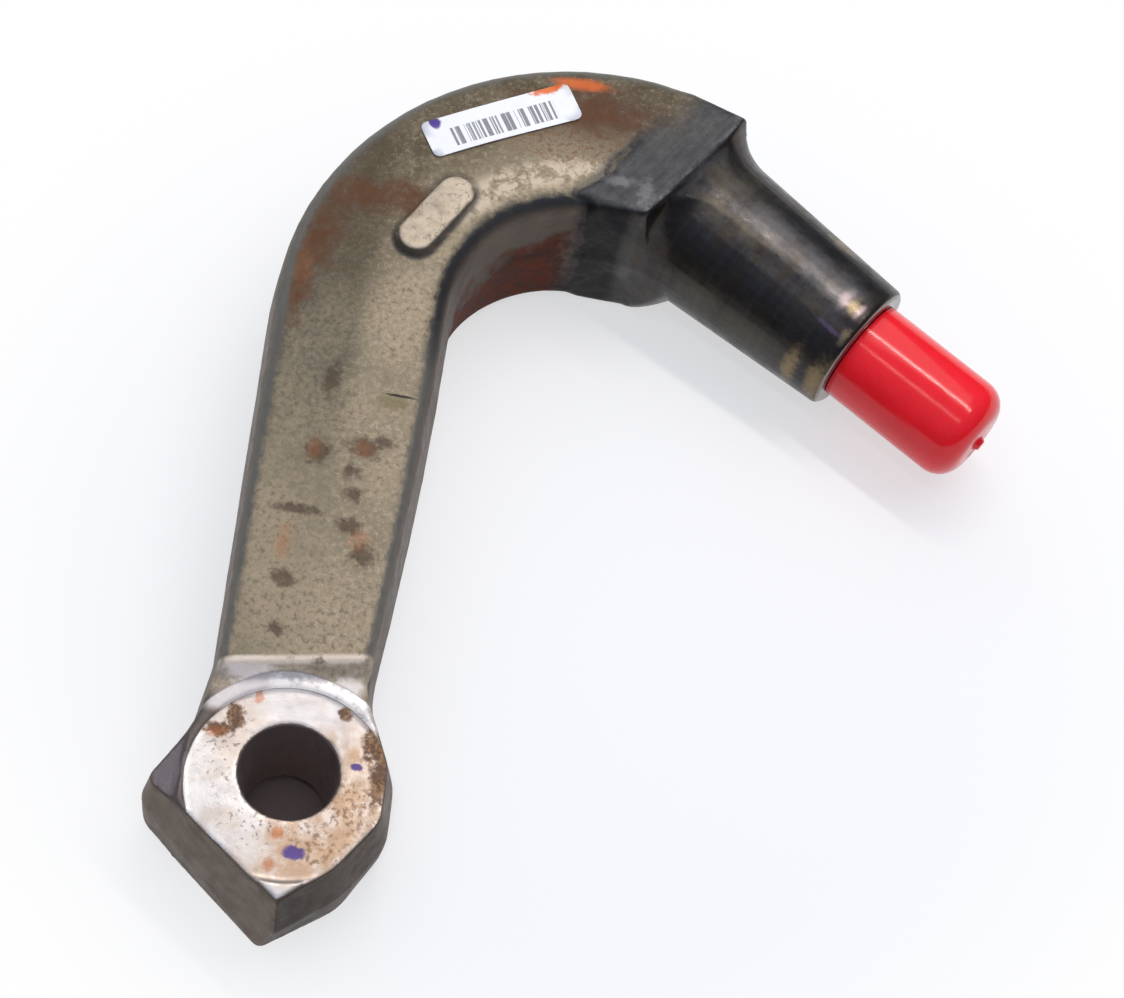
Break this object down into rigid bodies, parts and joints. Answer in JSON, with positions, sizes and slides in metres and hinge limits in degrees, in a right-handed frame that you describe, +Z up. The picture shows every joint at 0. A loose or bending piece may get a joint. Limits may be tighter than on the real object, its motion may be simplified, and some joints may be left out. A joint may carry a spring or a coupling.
{
  "type": "steering arm",
  "caption": "J-shaped forged steering arm: a pointed flat eye with a taper bore, a thick bend, and a tapered shank whose threaded end wears a plastic cap.",
  "frame": {"origin": "bottom centre of the box around the whole part, on the surface it rests on", "axes": "+Z up, +Y along the straight arm from the eye towards the bend, +X towards the shank's side"},
  "size_m": [0.267, 0.325, 0.0668],
  "materials": {
    "forged_steel": "forged skin with light rust, machined faces on the eye and shank",
    "red_vinyl": "glossy dip-moulded vinyl",
    "label_paper": "matt paper"
  },
  "bodies": {
    "arm": {"steering_arm": "forged_steel", "label": "label_paper"},
    "cap": {"thread_cap": "red_vinyl"}
  },
  "joints": [
    {"name": "cap_pull_off", "type": "slide", "parent": "arm", "child": "cap", "axis": [0.8346, -0.5496, -0.0359], "range_m": [0, 0.06]}
  ]
}
